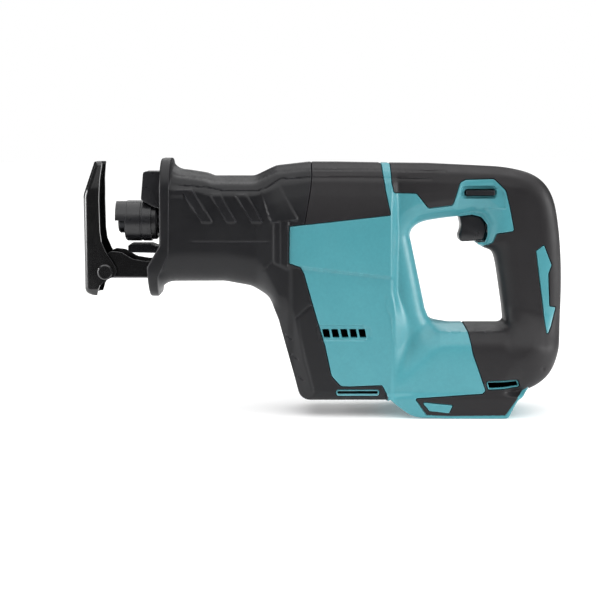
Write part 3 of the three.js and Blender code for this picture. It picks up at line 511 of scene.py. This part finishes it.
# ---------------------------------------------------------------- shells of the body
def grown(corners, d):
    """An outline moved outwards by d at every corner."""
    p = np.array([c[:2] for c in corners], float)
    turn = np.sign(sum(p[i - 1][0] * p[i][1] - p[i][0] * p[i - 1][1] for i in range(len(p))))
    out = []
    for i, c in enumerate(corners):
        a, b = p[i] - p[i - 1], p[(i + 1) % len(p)] - p[i]
        na = np.array((a[1], -a[0])) / np.linalg.norm(a) * turn
        nb = np.array((b[1], -b[0])) / np.linalg.norm(b) * turn
        m = (na + nb) / (1 + na @ nb) * d
        out.append((*(p[i] + m), (c[2] if len(c) > 2 else 0) + d))
    return out


def circle(x, z, r, sides=28):
    """Points of a circle in the side view."""
    a = np.arange(sides) * 2 * math.pi / sides
    return np.stack((x + r * np.cos(a), z + r * np.sin(a)), 1)


VENTS = [rounded([(*c, 0.5) for c in v]) for v in SIDE_VENTS]
LEG_HOLE = rounded(LEG_VENT)
REAR_HOLE = rounded(REAR_VENT)
SLOT = rounded(LOCK_SLOT)
SCREW_HOLES = [circle(x, z, SCREW_R) for x, z in SCREWS]
LEG_RIM = grown(LEG_VENT, 1.3)
REAR_RIM = grown(REAR_VENT, 1.2)
THROUGH = VENTS + [LEG_HOLE, REAR_HOLE, SLOT]


def nearest(points, loop, turn):
    """Distance to a closed outline, and the way to its nearest point, or along its normal right beside it."""
    best = np.full(len(points), 1e9)
    away = np.zeros((len(points), 2))
    for p, q in zip(loop, np.roll(loop, -1, axis=0)):
        d = q - p
        t = np.clip(((points - p) @ d) / max(d @ d, 1e-12), 0, 1)
        near = p + t[:, None] * d - points
        dist = np.einsum("ij,ij->i", near, near)
        closer = dist < best
        best[closer] = dist[closer]
        normal = np.array((-d[1], d[0])) * turn / max(np.linalg.norm(d), 1e-9)
        gap = dist[closer, None]
        away[closer] = np.where(gap > 2.5e-3, near[closer] / np.sqrt(np.maximum(gap, 1e-12)), normal)
    return np.sqrt(best), away


# Each triangle of the side view belongs to one piece, painted in this order.
verts2, faces2 = triangulate(THROUGH + SCREW_HOLES + [rounded(LEG_RIM), rounded(REAR_RIM)])
centre = verts2[faces2].mean(axis=1)
in_body = inside(centre, EDGE) & ~inside(centre, HOLE)
for cut in THROUGH:
    in_body &= ~inside(centre, cut)
faces2, centre = faces2[in_body], centre[in_body]
in_screw = np.zeros(len(faces2), bool)
for cut in SCREW_HOLES:
    in_screw |= inside(centre, cut)
TEAL_K, COVER_K, PAD_K, GRIP_K, LEG_K = range(5)
kind = np.full(len(faces2), TEAL_K)
for area, piece in ((REAR, GRIP_K), (ACCENT, TEAL_K), (BADGE, TEAL_K), (REAR_RIM, TEAL_K), (TOP_PAD, PAD_K),
                    (FRONT, COVER_K), (LEG_RIM, LEG_K)):
    kind[inside(centre, rounded(area))] = piece

# Seams: edges whose two triangles belong to different pieces, or that border an opening.
pair = {}
for f, k in zip(faces2, kind):
    for a, b in ((f[0], f[1]), (f[1], f[2]), (f[2], f[0])):
        pair.setdefault((min(a, b), max(a, b)), []).append(k)
rim_d, rim_dir = nearest(verts2, ROLL, 1)
rim_d *= inside(verts2, ROLL)
hole_d, hole_dir = nearest(verts2, HOLE, -1)
on_edge = (distance(verts2, EDGE) < 2e-3) | (hole_d < 2e-3)
seams = [e for e, k in pair.items() if (len(k) == 2 and k[0] != k[1]) or
         (len(k) == 1 and not (on_edge[e[0]] and on_edge[e[1]]))]
spots = np.array([verts2[a] + (verts2[b] - verts2[a]) * t for a, b in seams for t in (0, 0.25, 0.5, 0.75)])

# The surface sinks towards a seam: straight in on the flat, and towards the middle beside the silhouette.
sink = SEAM_DEEP * (1 - ramp(gaps(verts2, spots), 0.0, SEAM_WIDE))
body_d = np.minimum(rim_d, hole_d)
out_dir = np.where((rim_d < hole_d)[:, None], rim_dir, hole_dir)
lean = np.clip(1 - body_d / LEAN_WITHIN, 0, 1)
up = np.sqrt(1 - lean ** 2)
plan = verts2 - out_dir * (sink * lean)[:, None]
height = np.maximum(half_width(verts2) - sink * up, THINNEST)

foot_edge = np.array([p for p in dense(EDGE, EDGE_STEP) if 66 < p[0] < 158 and p[1] < CEILING])
foot_edge = foot_edge[np.argsort(foot_edge[:, 0])]
SCREW_FLOORS = [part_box("housing_screw_%d" % n)[1][1] * 1000 - SCREW_SUNK for n in range(1, len(SCREWS) + 1)]


def by_trigger(q):
    """Whether a point of the outline lies where the trigger passes into the grip."""
    return 107.5 < q[0] < 134 and 139.25 < q[1] < 163


def in_channel(q):
    """Whether a point of the outline lies over the battery channel."""
    return foot_edge[0][0] - 1e-3 <= q[0] <= foot_edge[-1][0] + 1e-3 and q[1] < CEILING


def channel(side):
    """Half of the battery channel: a wall with its rail groove, the ceiling and the end walls."""
    rows = []
    for x, z in foot_edge:
        g = GROOVE_HALF if x > GROOVE_FRONT else CHANNEL_HALF
        profile = ((CHANNEL_HALF, z), (CHANNEL_HALF, GROOVE_LOW), (g, GROOVE_LOW), (g, GROOVE_HIGH),
                   (CHANNEL_HALF, GROOVE_HIGH), (CHANNEL_HALF, CEILING), (0.0, CEILING))
        rows.append([(x, side * y, max(h, z)) for y, h in profile])
    n = len(rows[0])
    verts = [v for r in rows for v in r]
    faces = [(i * n + k, i * n + k + 1, (i + 1) * n + k + 1, (i + 1) * n + k)
             for i in range(len(rows) - 1) for k in range(n - 1)]
    for x, z, row in ((*foot_edge[0], 0), (*foot_edge[-1], len(rows) - 1)):
        verts.append((x, 0.0, z))
        faces.append((row * n, row * n + 5, row * n + 6, len(verts) - 1))
    return verts, faces


def shell(piece, side, drop_screws):
    """Vertices and faces of one piece on one side, with walls along its borders."""
    pick = kind == piece
    if drop_screws:
        pick &= ~in_screw
    used, inverse = np.unique(faces2[pick], return_inverse=True)
    tris = inverse.reshape(-1, 3)
    raw = verts2[used]
    verts = [(q[0], side * h, q[1]) for q, h in zip(plan[used], height[used])]
    faces = [tuple(f) for f in tris]
    low, floors, pocket, ends = {}, {}, {}, {}

    def under(i, open_edge, over_channel):
        """The vertex at the foot of the wall below vertex i."""
        key = (i, open_edge, over_channel)
        if key in low:
            return low[key]
        if over_channel:
            bottom = CHANNEL_HALF
        elif open_edge and by_trigger(raw[i]):
            bottom = POCKET_HALF
        elif open_edge:
            bottom = 0.0 if piece == COVER_K else HALF_GAP
        else:
            bottom = max(side * verts[i][1] - WALL_DEEP, HALF_GAP)
            for n, (x, z) in enumerate(SCREWS):
                if math.hypot(raw[i][0] - x, raw[i][1] - z) < SCREW_R + 0.1:
                    bottom = SCREW_FLOORS[n]
                    floors.setdefault(n, []).append(len(verts))
        low[key] = len(verts)
        verts.append((verts[i][0], side * bottom, verts[i][2]))
        return low[key]

    borders = dict.fromkeys((f[k], f[(k + 1) % 3]) for f in faces for k in range(3))
    for a, b in borders:
        if (b, a) in borders or (raw[a][0] < FRONT_END and raw[b][0] < FRONT_END):
            continue
        open_edge = bool(on_edge[used[a]] and on_edge[used[b]])
        over_channel = open_edge and in_channel(raw[a]) and in_channel(raw[b])
        faces.append((b, a, under(a, open_edge, over_channel), under(b, open_edge, over_channel)))
        if not (open_edge and by_trigger(raw[a]) and by_trigger(raw[b])):
            continue
        # Beside the trigger the wall goes on into a pocket: its side, its floor and its ends.
        for i in (a, b):
            ends[i] = ends.get(i, 0) + 1
            if i not in pocket:
                back = raw[i] + np.maximum(-hole_dir[used[i]], 0) * POCKET_DEEP
                pocket[i] = [under(i, True, False), len(verts), len(verts) + 1, len(verts) + 2]
                verts += [(back[0], side * POCKET_HALF, back[1]), (back[0], side * HALF_GAP, back[1]),
                          (raw[i][0], side * HALF_GAP, raw[i][1])]
        faces += [(pocket[a][k], pocket[b][k], pocket[b][k + 1], pocket[a][k + 1]) for k in (0, 1)]
    faces += [tuple(pocket[i]) for i, n in ends.items() if n == 1]
    for ids in floors.values():
        mid = np.mean([verts[i] for i in ids], axis=0)
        ids.sort(key=lambda i: math.atan2(verts[i][2] - mid[2], verts[i][0] - mid[0]))
        faces.append(tuple(ids))
    return verts, faces


def in_metres(verts):
    return [(x * MM, y * MM, z * MM) for x, y, z in verts]


def joined(*parts):
    """Several lists of vertices in millimetres and faces as one, in metres."""
    verts, faces = [], []
    for v, f in parts:
        at = len(verts)
        verts += v
        faces += [tuple(i + at for i in face) for face in f]
    return in_metres(verts), faces


def crossing(middle, loop, angle):
    """Where a ray from the middle leaves a closed outline."""
    ray = np.array((math.cos(angle), math.sin(angle)))
    best = 0
    for p, q in zip(loop, np.roll(loop, -1, axis=0)):
        d = q - p
        det = ray[0] * -d[1] + ray[1] * d[0]
        if abs(det) < 1e-9:
            continue
        r = p - middle
        t = (r[0] * -d[1] + r[1] * d[0]) / det
        u = (ray[0] * r[1] - ray[1] * r[0]) / det
        if t > 0 and -1e-6 <= u <= 1 + 1e-6:
            best = max(best, t)
    return middle + ray * best


def rings(rows):
    """Faces between rows of vertices, each row closed on itself."""
    n = len(rows[0])
    return [(i * n + k, i * n + (k + 1) % n, (i + 1) * n + (k + 1) % n, (i + 1) * n + k)
            for i in range(len(rows) - 1) for k in range(n)]


FILLET = 11.5  # from the back of the flange into the barrel


def flange():
    """The raised collar round the front opening, its lower half set forward. Its outlines are (Y, Z)."""
    rim = rounded([(-34, 96, 22), (34, 96, 22), (34, 206.6, 26), (-34, 206.6, 26)], 5)
    bore = rounded([(-25, 110.6, 5), (25, 110.6, 5), (27, 197.5, 14), (-27, 197.5, 14)], 5)
    turns = np.linspace(0, 2 * math.pi, 241)[:-1]
    mid = np.array((0.0, 152.0))
    outer = np.array([crossing(mid, rim, a) for a in turns])
    inner = np.array([crossing(mid, bore, a) for a in turns])

    # The barrel's own cross-section, just outside it for the fillet and well inside it for the throat.
    up = np.linspace(107.65, 197.0, 160)
    side = half_width(np.stack((np.full_like(up, -110.0), up), 1))
    barrel = np.concatenate((np.stack((-side, up), 1), np.stack((side, up), 1)[::-1]))
    wall = np.array([crossing(mid, mid + (barrel - mid) * 1.004, a) for a in turns])
    room = np.minimum(np.linalg.norm(inner - mid, axis=1) - 0.5, np.linalg.norm(wall - mid, axis=1) - 1.6)
    throat = mid + np.stack((np.cos(turns), np.sin(turns)), 1) * room[:, None]

    def front(z):
        return np.interp(z, (95, 121, 138, 207), (-139.6, -140.8, -130.9, -130.4))

    def back(z):
        return np.interp(z, (95, 113, 131, 207), (-132.6, -132.4, -123.6, -122.2))

    def ring(loop, inset, x_of, shift):
        n = mid - loop
        loop = loop + n / np.linalg.norm(n, axis=1)[:, None] * inset
        return [(float(x_of(z) + shift), float(y), float(z)) for y, z in loop]

    rows = [[(x, float(y), float(z)) for y, z in throat] for x in (-108.0, -121.5)]
    rows += [ring(inner, inset, front, shift) for inset, shift in
             ((0.0, 2.2), (-0.3, 0.9), (-1.1, 0.15), (-2.0, 0.0))]
    rows += [ring(outer, inset, front, shift) for inset, shift in
             ((2.0, 0.0), (1.0, 0.2), (0.3, 0.8), (0.0, 1.7))]
    rows += [ring(outer, inset, back, shift) for inset, shift in ((0.0, -1.2), (0.25, -0.4), (0.8, 0.0))]
    start = np.array([(y, z) for _, y, z in rows[-1]])
    for a in np.linspace(0, math.pi / 2, 11)[1:]:
        loop = wall + (start - wall) * (1 - math.sin(a))
        rows.append([(float(back(q[1]) + FILLET * (1 - math.cos(a))), float(y), float(z))
                     for q, (y, z) in zip(start, loop)])
    return [v for r in rows for v in r], rings(rows)


SHELL_SMOOTH = 34  # degrees
make_object("front_cover_shell", *joined(shell(COVER_K, -1, False), shell(COVER_K, 1, False), flange()),
            "base", COVER, SHELL_SMOOTH, ["front_cover"], "black_rubber_cover")
for side, tag in ((-1, "right"), (1, "left")):
    far = side > 0  # the screws sit on this side only
    make_object("housing_shell_" + tag, *joined(shell(TEAL_K, side, far), channel(side)), "base", TEAL,
                SHELL_SMOOTH, ["housing_" + tag], "teal_plastic")
    make_object("top_pad_skin_" + tag, *joined(shell(PAD_K, side, far)), "base", PAD, SHELL_SMOOTH,
                ["top_pad_" + tag], "black_overmould")
    make_object("grip_skin_" + tag, *joined(shell(GRIP_K, side, far)), "base", PAD, SHELL_SMOOTH,
                ["grip_" + tag], "black_overmould")
    make_object("leg_vent_rim_" + tag, *joined(shell(LEG_K, side, far)), "base", TEAL, SHELL_SMOOTH,
                ["leg_vent_" + tag], "teal_plastic")


def smooth_by_angle(degrees):
    """A modifier's node group: smooth shading, but sharp where faces meet at more than this angle."""
    group = bpy.data.node_groups.new("smooth_by_angle", "GeometryNodeTree")
    for way in ("INPUT", "OUTPUT"):
        group.interface.new_socket("Geometry", in_out=way, socket_type="NodeSocketGeometry")
    start, end = node(group, "NodeGroupInput"), node(group, "NodeGroupOutput")
    bend = node(group, "GeometryNodeInputMeshEdgeAngle")
    over = node(group, "FunctionNodeCompare", data_type="FLOAT", operation="GREATER_THAN")
    over.inputs[1].default_value = math.radians(degrees)
    soft = node(group, "GeometryNodeSetShadeSmooth", {"Geometry": start.outputs[0]})
    sharp = node(group, "GeometryNodeSetShadeSmooth", {"Geometry": soft.outputs[0], "Shade Smooth": False},
                 domain="EDGE")
    group.links.new(over.outputs[0], sharp.inputs["Selection"])
    group.links.new(bend.outputs[0], over.inputs[0])
    group.links.new(sharp.outputs[0], end.inputs[0])
    return group


SMOOTH = smooth_by_angle(38)

# ---------------------------------------------------------------- shoe: one pressed channel with a blade slot
# Heights and the X of the front and back edges there; heights and half widths.
SHOE_FRONT = ((97.1, 98.4, 100, 102.5, 176, 179, 181.5, 203.8),
              (-187.6, -190.6, -191.9, -192.5, -192.5, -192.0, -191.2, -184.3))
SHOE_BACK = ((97.1, 103.3, 105.3, 108, 110.5, 112.5, 116, 119.4, 125, 132.2, 140.2, 149, 173, 190, 203.8),
             (-182.5, -180.8, -179.7, -176.8, -172.6, -168.2, -166.5, -166.9, -170, -175, -178.3, -179.4,
              -179.8, -179.2, -177.6))
SHOE_HALF = ((97, 101, 177, 182, 203.8), (18.2, 20, 20, 19.2, 13.2))
SHOE_LOW, SHOE_TOP = 97.1, 203.8
SHOE_SHEET, SHOE_BEND = 2.2, 5.0
SLOT_HALF, SLOT_LOW, SLOT_TOP = 5.5, 124.0, 190.0


def shoe():
    """Rows up the channel, stations round its U section, inner and outer skins."""
    levels = {*np.arange(SHOE_LOW, SHOE_TOP, 2.4), *SHOE_FRONT[0], *SHOE_BACK[0], SLOT_LOW, SLOT_TOP,
              SLOT_LOW + 1.5, SLOT_TOP - 1.5}
    rows = [(z, 1.0) for z in sorted(levels) if z < SHOE_TOP - 0.6]
    rows += [(SHOE_TOP - 0.3, 0.97), (SHOE_TOP, 0.86), (SHOE_TOP, 0.4), (SHOE_TOP, 0.02)]
    across = (-0.9, -0.75, -0.55, -0.4, -0.2, 0, 0.2, 0.4, 0.55, 0.75, 0.9)
    verts, index = [], {}
    for j, (z, shrink) in enumerate(rows):
        xf = np.interp(z, *SHOE_FRONT)
        xb = np.interp(z, *SHOE_BACK)
        w = float(np.interp(z, *SHOE_HALF))
        cx = (xf + xb) / 2
        for layer, t in (("out", 0.0), ("in", SHOE_SHEET)):
            r = SHOE_BEND - t
            x0, half = xf + t, w - t
            flat = half - r
            bend = np.linspace(0, math.pi / 2, 7)
            loop = [(xb + (x0 + r - xb) * k / 8, -half) for k in range(8)]
            loop += [(x0 + r - r * math.sin(a), -half + r - r * math.cos(a)) for a in bend]
            loop += [(x0, y) for y in sorted({-SLOT_HALF, SLOT_HALF, *[c * flat for c in across]})]
            loop += [(x0 + r - r * math.cos(a), half - r + r * math.sin(a)) for a in bend]
            loop += [(xb + (x0 + r - xb) * k / 8, half) for k in range(7, -1, -1)]
            top = z - (SHOE_SHEET if shrink < 1 and layer == "in" else 0)
            for i, (x, y) in enumerate(loop):
                index[layer, j, i] = len(verts)
                verts.append((cx + (x - cx) * shrink, y * shrink, top))
    # Cells of the sheet, without those of the blade slot.
    width = len(loop)
    left, right = (next(i for i in range(width) if abs(verts[index["out", 10, i]][1] - y) < 1e-6)
                   for y in (-SLOT_HALF, SLOT_HALF))
    solid = {(j, i) for j in range(len(rows) - 1) for i in range(width - 1)
             if not (left <= i < right and SLOT_LOW - 0.1 < rows[j][0] < SLOT_TOP - 0.1)}
    faces = []
    for j, i in solid:
        cell = ((j, i), (j, i + 1), (j + 1, i + 1), (j + 1, i))
        o = [index[("out", *c)] for c in cell]
        n = [index[("in", *c)] for c in cell]
        faces += [tuple(o), tuple(reversed(n))]
        for dj, di, a, b in ((0, -1, 3, 0), (0, 1, 1, 2), (-1, 0, 0, 1), (1, 0, 2, 3)):
            if (j + dj, i + di) not in solid:
                faces.append((o[b], o[a], n[a], n[b]))
    return in_metres(verts), faces


def softened(obj, width, segments):
    """Rounds the edges over 35 degrees by a width in millimetres, if there is one, and shades by angle."""
    if width:
        bevel = obj.modifiers.new("bevel", "BEVEL")
        bevel.width = width * MM
        bevel.segments = segments
        bevel.limit_method = "ANGLE"
        bevel.angle_limit = math.radians(35)
        bevel.use_clamp_overlap = True
    shade = obj.modifiers.new("shade", "NODES")
    shade.node_group = SMOOTH


shoe_plate = make_object("shoe_plate", *shoe(), "shoe_body", STEEL_BLACK, 38, ["shoe"], "coated_steel")
softened(shoe_plate, 0.5, 2)


def coil(x0, x1, z, radius, wire, turns):
    """A compression spring along X, from x0 to x1 at height z, of a wire with this radius."""
    verts, faces, sides, steps = [], [], 8, turns * 20
    for k in range(steps + 1):
        t = k / steps
        a = t * turns * 2 * math.pi
        x = x0 + wire + (x1 - x0 - 2 * wire) * float(ramp(t, 0.0, 1.0) * 0.35 + t * 0.65)
        for j in range(sides):
            b = j * 2 * math.pi / sides
            r = radius + wire * math.cos(b)
            verts.append(((x + wire * math.sin(b)) * MM, r * math.cos(a) * MM, (z + r * math.sin(a)) * MM))
    for k in range(steps):
        for j in range(sides):
            n = (j + 1) % sides
            faces.append((k * sides + j, k * sides + n, (k + 1) * sides + n, (k + 1) * sides + j))
    faces += [tuple(range(sides - 1, -1, -1)), tuple(steps * sides + j for j in range(sides))]
    return verts, faces


spring = make_object("trigger_coil", *coil(131.2, 140.2, 150.0, 3.0, 0.4, 6), "base", BRIGHT_STEEL, 60,
                     ["trigger_spring"], "machined_steel")
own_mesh(spring)

# ---------------------------------------------------------------- CAD nodes that stay
# Each gets the material of its slot, and some get rounded edges, in millimetres.
BEVELS = {"lamp_hood": 0.8, "blade_guide": 0.6, "trigger": 0.9, "lock_button": 0.5, "shoe_bracket": 0.6,
          "gear_case": 0.8, "switch_body": 0.4, "controller": 0.4}
WELD = 2e-5  # metres
for name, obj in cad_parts.items():
    given = obj.material_slots[0].material.name if obj.material_slots else ""
    slot = next((s for s in SLOTS if given.startswith(s)), "black_plastic")
    for s in obj.material_slots:
        s.material = SLOTS[slot]
    weld = obj.modifiers.new("weld", "WELD")
    weld.merge_threshold = WELD
    softened(obj, BEVELS.get(name), 3)

# ---------------------------------------------------------------- floor, light, camera
floor = bpy.data.meshes.new("floor")
floor.from_pydata([(-6, -0.5, 0), (6, -0.5, 0), (6, 8, 0), (-6, 8, 0)], [], [(0, 1, 2, 3)])
floor_obj = placed("floor", floor)
pale, _, bsdf = shader("pale_floor")
bsdf.inputs["Base Color"].default_value = (0.93, 0.93, 0.93, 1)
bsdf.inputs["Roughness"].default_value = 0.9
bsdf.inputs["Emission Color"].default_value = (1, 1, 1, 1)
bsdf.inputs["Emission Strength"].default_value = 0.16  # keeps the shadows pale
floor.materials.append(pale)

# The camera sees a white backdrop, while the object is lit by a dimmer sky.
world = bpy.data.worlds.new("studio")
bpy.context.scene.world = world
world.use_nodes = True
sky = world.node_tree
fill = sky.nodes["Background"]
fill.inputs[0].default_value = (1, 1, 1, 1)
fill.inputs[1].default_value = 0.12
backdrop = node(sky, "ShaderNodeBackground", {"Color": (1, 1, 1, 1), "Strength": 1.0})
seen = node(sky, "ShaderNodeLightPath").outputs["Is Camera Ray"]
both = node(sky, "ShaderNodeMixShader", {0: seen, 1: fill.outputs[0], 2: backdrop.outputs[0]})
sky.links.new(both.outputs[0], sky.nodes["World Output"].inputs[0])


def softbox(name, at, width, power):
    """A rectangular light 0.9 m high that faces the object."""
    light = bpy.data.lights.new(name, "AREA")
    light.shape = "RECTANGLE"
    light.size, light.size_y = width, 0.9
    light.energy = power
    obj = placed(name, light)
    obj.location = at
    obj.rotation_euler = (Vector((0, 0, 0.1)) - Vector(at)).to_track_quat("-Z", "Y").to_euler()


overhead = bpy.data.lights.new("overhead", "SUN")
overhead.energy = 3.0
overhead.angle = math.radians(95)
placed("overhead", overhead).rotation_euler = (math.radians(6), math.radians(3), 0)
softbox("left", (-1.9, -0.35, 0.45), 0.9, 30)
softbox("right", (1.8, -0.5, 0.5), 0.7, 20)
softbox("front", (0.1, -2.1, 1.75), 2.4, 5)
softbox("back", (0.3, 2.2, 1.5), 2.2, 12)

bpy.context.scene.view_settings.view_transform = "Standard"
camera = bpy.data.cameras.new("camera")
camera.lens = 84.5
camera.sensor_width = 36
cam = placed("camera", camera)
cam.location = (-0.020, -1.1414, 0.2312)
cam.rotation_euler = (math.radians(83), 0, 0)
bpy.context.scene.camera = cam
